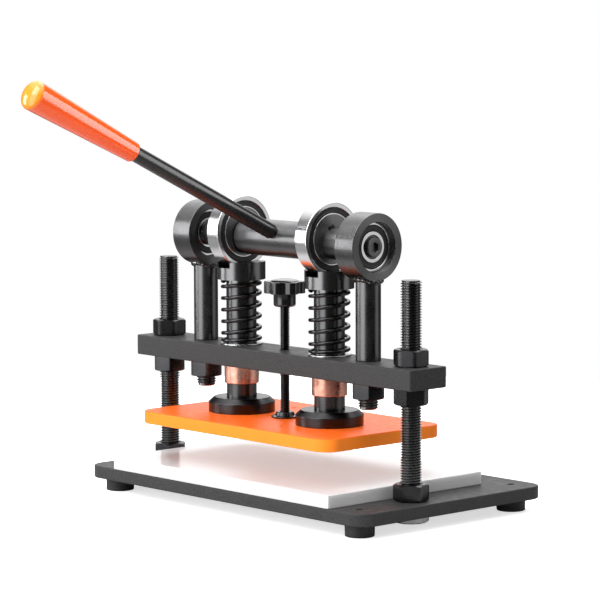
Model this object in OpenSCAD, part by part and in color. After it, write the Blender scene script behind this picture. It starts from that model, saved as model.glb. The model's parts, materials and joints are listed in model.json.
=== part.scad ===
// Tabletop lever press: a cam shaft pushes a press plate down onto a cutting board.
// Origin: centre of the four bench-screw holes, on the bench (z = 0).
// +X runs along the cross beam, -Y is the operator's side, +Z is up. Millimetres.

/* [Base] */
// Width of the base plate
base_w = 322; // [312:2:340]
// Depth of the base plate
base_d = 195; // [190:1:215]
// Thickness of the base plate
base_t = 10; // [8:1:14]
// Corner radius of the base plate
base_r = 15; // [8:1:24]
// Distance between bench-screw holes along X
bench_x = 280; // [270:1:286]
// Distance between bench-screw holes along Y
bench_y = 160; // [150:1:164]
// Diameter of a bench-screw hole
bench_hole_d = 5.5; // [4:0.5:7]
// Diameter of a rubber foot
foot_d = 22.6; // [18:0.2:26]
// Height of a rubber foot
foot_h = 10; // [8:1:16]

/* [Cutting board] */
// Width of the cutting board
board_w = 251; // [200:1:251]
// Depth of the cutting board
board_d = 161; // [120:1:185]
// Thickness of the cutting board
board_t = 10; // [6:1:14]

/* [Columns] */
// Distance between the two columns
column_span = 280; // [280:1:284]
// Distance of the columns and the beam in front of the middle of the base
frame_shift = 27.5; // [20:0.5:35]
// Thread diameter of the columns and the eye post stubs
thread_d = 16; // [14:1:16]
// Height of the column tops above the bench
column_top = 185; // [170:1:220]
// Distance across the flats of every hex nut
nut_af = 24; // [23:0.5:24]
// Height of a full hex nut
nut_h = 13; // [10:0.5:13]

/* [Cross beam] */
// Length of the cross beam
beam_w = 317; // [312:1:330]
// Depth of the cross beam
beam_d = 38; // [34:1:40]
// Thickness of the cross beam
beam_t = 16; // [12:1:16]
// Height of the beam's underside above the bench
beam_z = 105; // [104:1:106]

/* [Eye posts] */
// Distance between the two eye posts
post_span = 188; // [186:1:190]
// Diameter of a post shank
post_d = 19.2; // [17:0.2:20]
// Outside diameter of a ring housing
ring_d = 51.4; // [50:0.2:54]
// Width of a ring housing along the shaft
ring_w = 20; // [20:0.5:22]
// How far a threaded stub reaches below the beam
stub_len = 21; // [16:1:26]

/* [Cam shaft] */
// Height of the shaft axis above the bench
shaft_z = 207; // [206:0.5:208]
// Diameter of the thick middle of the shaft
tube_d = 28.5; // [27:0.5:29]
// Eccentric throw of the cams
throw = 4; // [3:0.5:4]
// Angle of the cams past their top position, towards the operator
cam_lead = 30; // [20:5:40]
// Diameter of the eccentric discs
disc_d = 37.8; // [37:0.2:37.8]

/* [Handle] */
// Angle of the handle above the horizontal, towards the operator
handle_rise = 26; // [10:1:40]
// Diameter of the handle rod
rod_d = 12; // [10:0.5:13]
// Distance from the shaft axis to the start of the grip
grip_start = 166; // [130:0.5:180]
// Distance from the shaft axis to the end of the grip
grip_end = 273.5; // [255:0.5:274]
// Diameter of the grip at its thin end
grip_thin = 15.6; // [15:0.2:17]
// Diameter of the grip at its thick end
grip_thick = 22.8; // [18:0.2:24]

/* [Plungers] */
// Distance between the two plungers
plunger_span = 102; // [100:1:104]
// Diameter of a plunger rod
plunger_d = 23.8; // [22:0.2:24]
// Diameter of a plunger cap
cap_d = 38.2; // [36:0.2:40]
// Diameter of the cam bearings
cam_bearing_d = 56; // [55:0.2:56]
// Width of the cam bearings
cam_bearing_w = 13; // [11:0.5:14]
// Diameter of a flange on the press plate
flange_d = 52.4; // [48:0.2:56]

/* [Press plate] */
// Width of the press plate
plate_w = 220; // [200:1:224]
// Depth of the press plate
plate_d = 123; // [110:1:130]
// Thickness of the press plate
plate_t = 10; // [8:0.5:10]
// Corner radius of the press plate
plate_r = 13; // [6:1:18]
// Height of the press plate's top face above the bench
plate_top = 68; // [67:0.5:69]

/* [Springs] */
// Wire diameter of the return springs
wire_d = 3; // [2:0.2:3.2]
// Outside diameter of the return springs
spring_d = 32.4; // [31.4:0.2:33]
// Number of turns in a return spring
spring_turns = 6.3; // [5:0.1:7]

/* [Centre screw] */
// Thread diameter of the centre screw
screw_d = 8; // [6:1:10]
// Diameter of the knob over its lobes
knob_d = 32; // [28:1:34]
// Number of lobes on the knob
knob_lobes = 6; // [5:1:9]

/* [Hidden] */
$fn = 96;
eps = 0.01;
slack = 0.05;        // running clearance of a shaft in its bore

left = -1;
right = 1;
frame_y = -frame_shift;
base_top = foot_h + base_t;
beam_top = beam_z + beam_t;
column_x = column_span / 2;
post_x = post_span / 2;
plunger_x = plunger_span / 2;
board_x = -0.9;                    // the board lies a little to the left
low_nut_h = 6;                     // thin nuts under the base
nut_corner_d = nut_af / cos(30);

plate_y = frame_y + 3.5;           // the press plate reaches further back than forward
plate_hole_x = 33.5;               // small holes near the plate's front and back edges
plate_hole_y = 36;
plate_hole_d = 4;
flange_side_h = 7.8;
flange_slope_w = 4.2;
flange_top_z = plate_top + 11.6;

cam_y = frame_y - throw * sin(cam_lead);
cam_z = shaft_z + throw * cos(cam_lead);
cam_gap = 0.3;                     // air under each cam bearing at rest
cap_floor = cam_z - cam_bearing_d / 2 - cam_gap;
cap_top = cap_floor + 4.6;
cap_z = cap_top - 14;
cap_slot_w = cam_bearing_w + 0.6;

cam_race_d = 48.8;                 // inside of the cam bearing's outer ring
cam_lip_d = 40;                    // outside of the cam bearing's inner ring
shaft_bearing_d = 38;
shaft_bearing_w = 10;
shaft_race_d = 33.2;
shaft_lip_d = 23.6;
collar_d = 24;                     // shaft beside and inside the cams
collar_end = plunger_x + 18;
neck_d = 20;                       // shaft between the collar and the end bearing
journal_d = 18;                    // shaft inside the end bearing
journal_end = post_x + 4;
tube_end = plunger_x - cam_bearing_w / 2 - 0.6;
key_w = 5;
key_lean = 15.5;                   // direction of the keys past the top, towards the operator
end_screw_d = 15;
end_screw_h = 3.8;
hex_socket_af = 7;

bushing_d = 27.2;
bushing_drop = 14.7;               // how far a bushing stands out below the beam
seat_t = 1.2;
spring_low = beam_top + seat_t + wire_d / 2;
spring_high = cap_z - wire_d / 2 - 0.05;
spring_mid_d = spring_d - wire_d;
spring_start = 145;                // direction in which the lowest coil begins
dead_turns = 0.85;                 // closed coils at each end

pad_z = plate_top + 0.2;
pad_d = 21.4;
pad_h = 4.4;
screw_tip = pad_z + 2;
knob_z = plate_top + 97;
knob_h = 9.3;
knob_turn = 16.8;                  // direction of the first groove in the knob's rim
hub_d = 17.3;
hub_h = 10.6;

// Directions in which a corner of each hex nut points, looking down
nut_turn_top = [38.8, 31];
nut_turn_under = [19.4, 0];
nut_turn_base = [16.1, 45.5];
nut_turn_post = [17.7, 16.7];

function side_index(side) = side < 0 ? 0 : 1;

// ---- shapes used more than once ----

module rounded_plate(w, d, t, r) {
    linear_extrude(t)
        union() {
            square([w - 2 * r, d], center = true);
            square([w, d - 2 * r], center = true);
            for (sx = [-1, 1], sy = [-1, 1])
                translate([sx * (w / 2 - r), sy * (d / 2 - r)]) circle(r);
        }
}

// Ring or disc whose axis runs along X, centred on x = 0
module x_ring(od, id, w) {
    rotate([0, 90, 0])
        difference() {
            cylinder(d = od, h = w, center = true);
            if (id > 0) cylinder(d = id, h = w + 2, center = true);
        }
}

// Hex nut standing on z = 0 with both faces chamfered
module hex_nut(h, turn) {
    rim = nut_af / 2 * 0.96;
    corner = nut_corner_d / 2;
    drop = (corner - rim) * tan(30);
    rotate([0, 0, turn])
        difference() {
            intersection() {
                linear_extrude(h) circle(corner, $fn = 6);
                rotate_extrude()
                    polygon([[0, 0], [rim, 0], [corner, drop], [corner, h - drop], [rim, h], [0, h]]);
            }
            translate([0, 0, -1]) cylinder(d = thread_d + 2 * slack, h = h + 2);
        }
}

// Threaded bar, drawn at its thread's outside diameter with a chamfer at each end
module stud(d, z0, z1) {
    bevel = 0.08 * d;
    translate([0, 0, z0])
        rotate_extrude()
            polygon([[0, 0], [d / 2 - bevel, 0], [d / 2, bevel], [d / 2, z1 - z0 - bevel],
                     [d / 2 - bevel, z1 - z0], [0, z1 - z0]]);
}

// ---- fixed frame ----

module base_plate() {
    color("dimgray")
        translate([0, 0, foot_h])
            difference() {
                rounded_plate(base_w, base_d, base_t, base_r);
                for (sx = [-1, 1]) {
                    translate([sx * column_x, frame_y, -1])
                        cylinder(d = thread_d + 0.4, h = base_t + 2);
                    for (sy = [-1, 1])
                        translate([sx * bench_x / 2, sy * bench_y / 2, -1])
                            cylinder(d = bench_hole_d, h = base_t + 2);
                }
            }
}

module rubber_feet() {
    color([0.08, 0.08, 0.08])
        for (sx = [-1, 1], sy = [-1, 1])
            translate([sx * bench_x / 2, sy * bench_y / 2, 0])
                difference() {
                    cylinder(d = foot_d, h = foot_h);
                    translate([0, 0, -1]) cylinder(d = bench_hole_d, h = foot_h + 2);
                }
}

module cutting_board() {
    color("white")
        translate([board_x - board_w / 2, -base_d / 2, base_top])
            cube([board_w, board_d, board_t]);
}

module column(side) {
    color("black")
        translate([side * column_x, frame_y, 0])
            stud(thread_d, foot_h - low_nut_h, column_top);
}

module base_nuts_upper() {
    color([0.1, 0.1, 0.1])
        for (side = [left, right])
            translate([side * column_x, frame_y, base_top])
                hex_nut(nut_h, nut_turn_base[side_index(side)]);
}

module base_nuts_lower() {
    color([0.5, 0.5, 0.5])
        for (side = [left, right])
            translate([side * column_x, frame_y, foot_h - low_nut_h])
                hex_nut(low_nut_h, nut_turn_base[side_index(side)]);
}

// ---- beam assembly ----

module cross_beam() {
    color([0.2, 0.2, 0.21])
        difference() {
            translate([-beam_w / 2, frame_y - beam_d / 2, beam_z]) cube([beam_w, beam_d, beam_t]);
            translate([0, frame_y, beam_z - 1]) {
                cylinder(d = screw_d + 2 * slack, h = beam_t + 2);
                for (side = [left, right]) {
                    translate([side * column_x, 0, 0]) cylinder(d = thread_d + 1.5, h = beam_t + 2);
                    translate([side * post_x, 0, 0]) cylinder(d = thread_d + 0.4, h = beam_t + 2);
                    translate([side * plunger_x, 0, 0]) cylinder(d = bushing_d, h = beam_t + 2);
                }
            }
        }
}

module eye_post(side) {
    color([0.15, 0.15, 0.15])
        difference() {
            translate([side * post_x, frame_y, 0])
                union() {
                    translate([0, 0, beam_top]) cylinder(d = post_d, h = shaft_z - beam_top);
                    stud(thread_d, beam_z - stub_len, beam_top + 2);
                }
            translate([side * post_x, frame_y, shaft_z]) x_ring(ring_d, 0, 2 * post_d);
        }
}

module ring_housing(side) {
    color([0.3, 0.3, 0.31])
        translate([side * post_x, frame_y, shaft_z]) x_ring(ring_d, shaft_bearing_d, ring_w);
}

module post_nuts() {
    color([0.1, 0.1, 0.1])
        for (side = [left, right])
            translate([side * post_x, frame_y, beam_z - nut_h])
                hex_nut(nut_h, nut_turn_post[side_index(side)]);
}

module bushing(side) {
    bevel = 1.2;
    bore = plunger_d / 2 + slack;
    translate([side * plunger_x, frame_y, beam_z - bushing_drop])
        color([0.72, 0.45, 0.3])
            rotate_extrude()
                polygon([[bore, 0], [bushing_d / 2 - bevel, 0], [bushing_d / 2, bevel],
                         [bushing_d / 2, bushing_drop + beam_t], [bore, bushing_drop + beam_t]]);
}

module spring_seat(side) {
    color("silver")
        translate([side * plunger_x, frame_y, beam_top])
            difference() {
                cylinder(d = spring_d + 0.6, h = seat_t);
                translate([0, 0, -1]) cylinder(d = plunger_d + 0.8, h = seat_t + 2);
            }
}

module shaft_bearing(side) {
    color("silver")
        translate([side * post_x, frame_y, shaft_z])
            x_ring(shaft_bearing_d, shaft_race_d, shaft_bearing_w);
}

// Two thin shields, one at each face of an end bearing
module shaft_seal(side) {
    color([0.15, 0.15, 0.15])
        for (face = [-1, 1])
            translate([side * post_x + face * (shaft_bearing_w / 2 - 1.1), frame_y, shaft_z])
                x_ring(shaft_race_d, shaft_lip_d + 2 * slack, 1.2);
}

// ---- nuts that set the beam's height ----

module top_nut(side) {
    color([0.1, 0.1, 0.1])
        translate([side * column_x, frame_y, beam_top]) hex_nut(nut_h, nut_turn_top[side_index(side)]);
}

module under_nut(side) {
    color([0.1, 0.1, 0.1])
        translate([side * column_x, frame_y, beam_z - nut_h])
            hex_nut(nut_h, nut_turn_under[side_index(side)]);
}

// ---- cam shaft ----

module key_block(side, grow) {
    depth = cam_bearing_w + 0.5;
    inner_face = plunger_x - cam_bearing_w / 2;
    translate([side * (inner_face + depth / 2), frame_y, shaft_z])
        rotate([key_lean, 0, 0])
            translate([0, 0, collar_d / 2]) cube([depth + grow, key_w, key_w], center = true);
}

module shaft_section(x0, x1, d) {
    for (side = [left, right])
        translate([side * (x0 + x1) / 2, 0, 0]) x_ring(d, 0, x1 - x0);
}

module cam_shaft() {
    color([0.35, 0.35, 0.36])
        difference() {
            translate([0, frame_y, shaft_z])
                union() {
                    x_ring(tube_d, 0, 2 * tube_end);
                    shaft_section(tube_end, collar_end, collar_d);
                    shaft_section(collar_end, post_x - shaft_bearing_w / 2 - 0.5, neck_d);
                    shaft_section(post_x - shaft_bearing_w / 2 - 0.5, journal_end, journal_d);
                }
            handle_axis() translate([0, 0, tube_d / 2 - 6]) cylinder(d = rod_d, h = tube_d);
            for (side = [left, right]) key_block(side, eps);
        }
}

module cam_disc(side) {
    color([0.4, 0.4, 0.42])
        difference() {
            translate([side * plunger_x, cam_y, cam_z]) x_ring(disc_d, 0, cam_bearing_w - 0.6);
            translate([side * plunger_x, frame_y, shaft_z]) x_ring(collar_d, 0, 2 * cam_bearing_w);
            key_block(side, 2);
        }
}

module cam_key(side) {
    color([0.2, 0.2, 0.2]) key_block(side, 0);
}

module cam_inner_ring(side) {
    color("silver")
        translate([side * plunger_x, cam_y, cam_z]) x_ring(cam_lip_d, disc_d, cam_bearing_w);
}

module shaft_inner_ring(side) {
    color("silver")
        translate([side * post_x, frame_y, shaft_z]) x_ring(shaft_lip_d, journal_d, shaft_bearing_w);
}

module end_screw(side) {
    color("gray")
        translate([side * (journal_end + end_screw_h / 2), frame_y, shaft_z])
            rotate([0, side * 90, 0])
                difference() {
                    cylinder(d = end_screw_d, h = end_screw_h, center = true);
                    linear_extrude(end_screw_h) circle(d = hex_socket_af / cos(30), $fn = 6);
                }
}

// Frame whose +Z runs out along the handle from the shaft's axis
module handle_axis() {
    translate([0, frame_y, shaft_z]) rotate([90 - handle_rise, 0, 0]) children();
}

module handle_rod() {
    start = tube_d / 2 - 6;
    color([0.12, 0.12, 0.12])
        handle_axis()
            translate([0, 0, start]) cylinder(d = rod_d, h = grip_end - 30 - start);
}

module handle_grip() {
    lip = (grip_thin - rod_d) / 2 - 0.2;
    dome = 6;
    thin = grip_thin / 2;
    thick = grip_thick / 2;
    outline = concat(
        [[rod_d / 2, grip_start]],
        [for (a = [0:15:90]) [thin - lip + lip * sin(a), grip_start + lip - lip * cos(a)]],
        [for (a = [0:10:80]) [thick - dome + dome * cos(a), grip_end - dome + dome * sin(a)]],
        [[thick - dome, grip_end], [0, grip_end], [0, grip_end - 30], [rod_d / 2, grip_end - 30]]
    );
    color("orangered") handle_axis() rotate_extrude() polygon(outline);
}

// ---- cam bearings ----

module cam_bearing(side) {
    color("silver")
        translate([side * plunger_x, cam_y, cam_z]) x_ring(cam_bearing_d, cam_race_d, cam_bearing_w);
}

module cam_seal(side) {
    color([0.1, 0.1, 0.1])
        for (face = [-1, 1])
            translate([side * plunger_x + face * (cam_bearing_w / 2 - 1.1), cam_y, cam_z])
                x_ring(cam_race_d, cam_lip_d + 2 * slack, 1.2);
}

// ---- ram ----

module plunger(side) {
    color([0.15, 0.15, 0.15])
        translate([side * plunger_x, frame_y, 0])
            difference() {
                union() {
                    translate([0, 0, plate_top]) cylinder(d = plunger_d, h = cap_top - plate_top);
                    translate([0, 0, cap_z]) cylinder(d = cap_d, h = cap_top - cap_z);
                }
                translate([-cap_slot_w / 2, -cap_d, cap_floor]) cube([cap_slot_w, 2 * cap_d, cap_d]);
            }
}

module flange(side) {
    rim = flange_d / 2;
    color([0.1, 0.1, 0.1])
        translate([side * plunger_x, frame_y, 0])
            rotate_extrude()
                polygon([[plunger_d / 2, plate_top], [rim, plate_top], [rim, plate_top + flange_side_h],
                         [rim - flange_slope_w, flange_top_z], [plunger_d / 2, flange_top_z]]);
}

module press_plate() {
    color("orangered")
        translate([0, plate_y, plate_top - plate_t])
            difference() {
                rounded_plate(plate_w, plate_d, plate_t, plate_r);
                for (sx = [-1, 1], sy = [-1, 1])
                    translate([sx * plate_hole_x, sy * plate_hole_y, -1])
                        cylinder(d = plate_hole_d, h = plate_t + 2);
            }
}

// Height of the wire's centre after t turns: closed coils at both ends, open between
function spring_height(t) =
    let (closed = dead_turns * wire_d * 1.03,
         rise = (spring_high - spring_low - 2 * closed) / (spring_turns - 2 * dead_turns),
         low = min(t, dead_turns) * wire_d * 1.03,
         mid = max(0, min(t, spring_turns - dead_turns) - dead_turns) * rise,
         high = max(0, t - spring_turns + dead_turns) * wire_d * 1.03)
    spring_low + low + mid + high;

module spring(side) {
    steps = 24;
    facets = 8;
    rings = floor(spring_turns * steps);
    points = [
        for (i = [0:rings], k = [0:facets - 1])
            let (turn = 360 * i / steps + spring_start,
                 around = 360 * k / facets,
                 r = spring_mid_d / 2 + wire_d / 2 * cos(around),
                 z = spring_height(i / steps) + wire_d / 2 * sin(around))
            [r * cos(turn), r * sin(turn), z]
    ];
    sides = [
        for (i = [0:rings - 1], k = [0:facets - 1])
            let (a = i * facets + k, b = i * facets + (k + 1) % facets)
            [a, b, b + facets, a + facets]
    ];
    start_cap = [for (k = [facets - 1:-1:0]) k];
    end_cap = [for (k = [0:facets - 1]) rings * facets + k];
    color([0.25, 0.25, 0.25])
        translate([side * plunger_x, frame_y, 0])
            polyhedron(points, concat([start_cap], sides, [end_cap]), convexity = 8);
}

// ---- centre screw ----

module centre_screw() {
    color("black") translate([0, frame_y, 0]) stud(screw_d, screw_tip, knob_z);
}

module centre_knob() {
    lobe_r = 5;
    groove_r = 4;
    step = 180 / knob_lobes;
    lobe_at = knob_d / 2 - lobe_r;
    groove_at = lobe_at * cos(step) + sqrt(pow(lobe_r + groove_r, 2) - pow(lobe_at * sin(step), 2));
    dome_r = knob_d * 0.34;
    dome_h = 2;
    round_r = 2.2;
    hub_r = hub_d / 2;
    color([0.08, 0.08, 0.08])
        translate([0, frame_y, knob_z])
            difference() {
                union() {
                    rotate(knob_turn)
                        linear_extrude(knob_h) {
                            difference() {
                                polygon([for (i = [0:2 * knob_lobes - 1])
                                    (i % 2 == 0 ? groove_at : lobe_at) * [cos(step * i), sin(step * i)]]);
                                for (i = [0:knob_lobes - 1])
                                    rotate(2 * step * i) translate([groove_at, 0]) circle(groove_r);
                            }
                            for (i = [0:knob_lobes - 1])
                                rotate(2 * step * i + step) translate([lobe_at, 0]) circle(lobe_r);
                        }
                    rotate_extrude()
                        polygon(concat(
                            [[0, -hub_h], [screw_d / 2 + 1, -hub_h], [hub_r - round_r, 1.2 - hub_h]],
                            [for (a = [-75:15:0])
                                [hub_r + round_r * (cos(a) - 1), 1.2 - hub_h + round_r * (1 + sin(a))]],
                            [[hub_r, knob_h / 2], [dome_r, knob_h], [dome_r * 0.7, knob_h + dome_h * 0.7],
                             [dome_r * 0.35, knob_h + dome_h], [0, knob_h + dome_h]]
                        ));
                }
                translate([0, 0, -hub_h - 1]) cylinder(d = screw_d, h = hub_h + 1);
            }
}

module screw_pad() {
    foot = pad_d / 2;
    color([0.1, 0.1, 0.1])
        translate([0, frame_y, pad_z])
            difference() {
                rotate_extrude()
                    polygon([[0, 0], [foot, 0], [foot, 1.2], [foot - 3, 1.6], [foot - 4, pad_h], [0, pad_h]]);
                translate([0, 0, screw_tip - pad_z - 0.3])
                    cylinder(d = screw_d + 2 * slack, h = pad_h);
            }
}

base_plate();
rubber_feet();
cutting_board();
column(left);  // column_left
column(right);  // column_right
base_nuts_upper();
base_nuts_lower();
cross_beam();
eye_post(left);  // eye_post_left
eye_post(right);  // eye_post_right
ring_housing(left);  // ring_housing_left
ring_housing(right);  // ring_housing_right
post_nuts();
bushing(left);  // bushing_left
bushing(right);  // bushing_right
spring_seat(left);  // spring_seat_left
spring_seat(right);  // spring_seat_right
shaft_bearing(left);  // shaft_bearing_left
shaft_bearing(right);  // shaft_bearing_right
shaft_seal(left);  // shaft_seal_left
shaft_seal(right);  // shaft_seal_right
top_nut(left);  // top_nut_left
top_nut(right);  // top_nut_right
under_nut(left);  // under_nut_left
under_nut(right);  // under_nut_right
cam_shaft();
cam_disc(left);  // cam_disc_left
cam_disc(right);  // cam_disc_right
cam_key(left);  // cam_key_left
cam_key(right);  // cam_key_right
cam_inner_ring(left);  // cam_inner_ring_left
cam_inner_ring(right);  // cam_inner_ring_right
shaft_inner_ring(left);  // shaft_inner_ring_left
shaft_inner_ring(right);  // shaft_inner_ring_right
end_screw(left);  // end_screw_left
end_screw(right);  // end_screw_right
handle_rod();
handle_grip();
cam_bearing(left);  // cam_bearing_left
cam_bearing(right);  // cam_bearing_right
cam_seal(left);  // cam_seal_left
cam_seal(right);  // cam_seal_right
plunger(left);  // plunger_left
plunger(right);  // plunger_right
flange(left);  // flange_left
flange(right);  // flange_right
press_plate();
spring(left);  // spring_left
spring(right);  // spring_right
centre_screw();
centre_knob();
screw_pad();
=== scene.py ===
import json
import math

import bmesh
import bpy
from mathutils import Matrix, Vector, noise


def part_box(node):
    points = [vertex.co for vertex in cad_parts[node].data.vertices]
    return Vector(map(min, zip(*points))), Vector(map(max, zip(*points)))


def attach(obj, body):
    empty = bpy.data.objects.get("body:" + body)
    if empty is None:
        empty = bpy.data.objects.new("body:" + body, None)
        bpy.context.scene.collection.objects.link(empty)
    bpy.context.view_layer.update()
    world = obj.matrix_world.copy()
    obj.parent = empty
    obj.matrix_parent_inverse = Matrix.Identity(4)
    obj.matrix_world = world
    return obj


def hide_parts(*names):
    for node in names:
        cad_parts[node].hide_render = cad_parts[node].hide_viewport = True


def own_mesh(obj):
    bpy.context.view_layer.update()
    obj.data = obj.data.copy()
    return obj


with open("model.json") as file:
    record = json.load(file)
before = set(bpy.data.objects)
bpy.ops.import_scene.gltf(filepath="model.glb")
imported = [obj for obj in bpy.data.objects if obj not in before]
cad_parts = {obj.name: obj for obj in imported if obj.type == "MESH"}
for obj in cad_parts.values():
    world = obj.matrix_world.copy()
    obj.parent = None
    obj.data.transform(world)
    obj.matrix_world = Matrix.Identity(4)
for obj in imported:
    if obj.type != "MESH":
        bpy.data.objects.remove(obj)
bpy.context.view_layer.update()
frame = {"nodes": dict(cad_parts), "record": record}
record = frame["record"]
BODY = {n: body for body, members in record["behaviour"]["bodies"].items() for n in members}
SIDES = (("left", -1), ("right", 1))
MM = 0.001


def box_mm(node):
    """Centre and size of a CAD node, in millimetres."""
    low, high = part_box(node)
    low, high = Vector(low) / MM, Vector(high) / MM
    return (low + high) / 2, high - low


# ---------------------------------------------------------------- shapes, in millimetres


def fillet(points, radius, steps=3, closed=True):
    """The polyline with its corners rounded. radius is one number, or one for each point."""
    out = []
    count = len(points)
    for i, point in enumerate(points):
        r = radius[i] if isinstance(radius, (list, tuple)) else radius
        p = Vector(point)
        a, b = Vector(points[i - 1]) - p, Vector(points[(i + 1) % count]) - p
        at_end = not closed and i in (0, count - 1)
        if at_end or r <= 0 or a.length < 1e-6 or b.length < 1e-6 or a.angle(b) > math.pi - 0.03:
            out.append(tuple(p))
            continue
        half = a.angle(b) / 2
        d = min(r / math.tan(half), 0.49 * a.length, 0.49 * b.length)
        a.normalize()
        b.normalize()
        middle = p + (a + b).normalized() * (d / math.cos(half))
        start, end = p + a * d - middle, p + b * d - middle
        total = start.angle(end)
        for k in range(steps + 1):
            t = k / steps
            v = (start * math.sin((1 - t) * total) + end * math.sin(t * total)) / math.sin(total)
            out.append(tuple(middle + v))
    return out


def lathe(profile, ring=True, segments=96):
    """A solid turned about +Z from (radius, height) points. An open profile starts and ends on the axis."""
    bm = bmesh.new()
    rows = []
    for r, z in profile:
        if r < 1e-6:
            rows.append([bm.verts.new((0, 0, z))])
            continue
        turn = [math.tau * k / segments for k in range(segments)]
        rows.append([bm.verts.new((r * math.cos(a), r * math.sin(a), z)) for a in turn])
    following = rows[1:] + rows[:1] if ring else rows[1:]
    for a, b in zip(rows, following):
        for k in range(segments):
            m = (k + 1) % segments
            corners = [a[k % len(a)], a[m % len(a)], b[m % len(b)], b[k % len(b)]]
            corners = list(dict.fromkeys(corners))
            if len(corners) > 2:
                bm.faces.new(corners)
    bmesh.ops.recalc_face_normals(bm, faces=bm.faces)
    return bm


def tube(outer, inner, z0, z1, out_round=0.5, in_round=0.3, segments=96):
    """A ring with rounded edges."""
    corners = [(inner, z0), (outer, z0), (outer, z1), (inner, z1)]
    return lathe(fillet(corners, [in_round, out_round, out_round, in_round]), True, segments)


def thread(crest, pitch, z0, z1, tip, segments=48):
    """A threaded bar with a right-hand 60 degree thread and chamfered ends."""
    root = crest - 0.7 * pitch
    shape = [(root, 0), (root, 0.25), (crest, 0.5625), (crest, 0.6875)]
    turns = math.ceil((z1 - z0) / pitch) + 3
    bm = bmesh.new()
    columns = []
    for k in range(segments):
        a = math.tau * k / segments
        column = []
        for t in range(turns):
            for r, along in shape:
                z = z0 + (t - 2 + along + k / segments) * pitch
                r = min(r, crest - tip + max(0, z - z0), crest - tip + max(0, z1 - z))
                column.append(bm.verts.new((r * math.cos(a), r * math.sin(a), z)))
        columns.append(column)
    per_turn = len(shape)
    for k in range(segments):
        last = k == segments - 1
        a, b = columns[k], columns[0] if last else columns[k + 1]
        step = per_turn if last else 0
        for i in range(len(a) - 1 - step):
            bm.faces.new((a[i], b[i + step], b[i + step + 1], a[i + 1]))
    for z, up in ((z0, -1), (z1, 1)):
        everything = bm.verts[:] + bm.edges[:] + bm.faces[:]
        bmesh.ops.bisect_plane(bm, geom=everything, plane_co=(0, 0, z), plane_no=(0, 0, up), clear_outer=True)
        rim = [e for e in bm.edges if e.is_boundary and all(abs(v.co.z - z) < 1e-4 for v in e.verts)]
        bmesh.ops.edgeloop_fill(bm, edges=rim)
    bmesh.ops.recalc_face_normals(bm, faces=bm.faces)
    return bm


def hex_nut(flats, z0, z1, bore, turn, rim=0.95, steps=10):
    """A hex nut with both faces chamfered, and a chamfer at the mouths of its bore."""
    face, mouth, height = flats / 2 * rim, 0.7, z1 - z0
    corner = flats / 2 / math.cos(math.pi / 6) - 0.3
    rows = [[] for _ in range(8)]
    bm = bmesh.new()
    for k in range(6 * steps):
        a = math.radians(turn) + math.tau * k / (6 * steps)
        local = (k % steps) / steps * math.pi / 3 - math.pi / 6
        r = min(flats / 2 / math.cos(local), corner)
        drop = (r - face) * math.tan(math.pi / 6)
        profile = [(bore, mouth), (bore + mouth, 0), (face, 0), (r, drop),
                   (r, height - drop), (face, height), (bore + mouth, height), (bore, height - mouth)]
        for row, (radius, z) in zip(rows, profile):
            row.append(bm.verts.new((radius * math.cos(a), radius * math.sin(a), z0 + z)))
    for a, b in zip(rows, rows[1:] + rows[:1]):
        for k in range(len(a)):
            m = (k + 1) % len(a)
            bm.faces.new((a[k], a[m], b[m], b[k]))
    bmesh.ops.recalc_face_normals(bm, faces=bm.faces)
    sharp = [e for e in bm.edges if e.calc_face_angle(0) > math.radians(20)]
    bmesh.ops.bevel(bm, geom=sharp, offset=0.22, segments=2, affect="EDGES", clamp_overlap=True)
    return bm


def circle(x, y, r, steps=32):
    """A hole's outline, clockwise."""
    angles = [-math.tau * k / steps for k in range(steps)]
    return [(x + r * math.cos(a), y + r * math.sin(a)) for a in angles]


def slab(outline, z0, z1, edge, holes=(), steps=3):
    """A plate with rounded top and bottom edges. The outline runs anticlockwise and the holes clockwise."""
    bm = bmesh.new()
    caps = {0: [], 1: []}
    for number, loop in enumerate([outline, *holes]):
        soft = edge if number == 0 else min(edge, 0.4)
        count = len(loop)
        inward = []
        for i in range(count):
            along = Vector(loop[(i + 1) % count]) - Vector(loop[i - 1])
            inward.append(Vector((-along.y, along.x)).normalized())
        levels = []
        for k in range(steps + 1):
            a = math.pi / 2 * k / steps
            levels.append((soft * (1 - math.sin(a)), z0 + soft * (1 - math.cos(a))))
        levels += [(d, z1 + z0 - z) for d, z in reversed(levels)]
        rows = []
        for d, z in levels:
            rows.append([bm.verts.new((*(Vector(p) + n * d), z)) for p, n in zip(loop, inward)])
        for a, b in zip(rows, rows[1:]):
            for i in range(count):
                m = (i + 1) % count
                bm.faces.new((a[i], a[m], b[m], b[i]))
        caps[0] += [bm.edges.get((rows[0][i], rows[0][(i + 1) % count])) for i in range(count)]
        caps[1] += [bm.edges.get((rows[-1][i], rows[-1][(i + 1) % count])) for i in range(count)]
    for edges in caps.values():
        bmesh.ops.triangle_fill(bm, use_beauty=True, edges=edges)
    bmesh.ops.recalc_face_normals(bm, faces=bm.faces)
    return bm


def rectangle(x0, y0, x1, y1, r, steps=12):
    return fillet([(x0, y0), (x1, y0), (x1, y1), (x0, y1)], r, steps)


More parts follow.
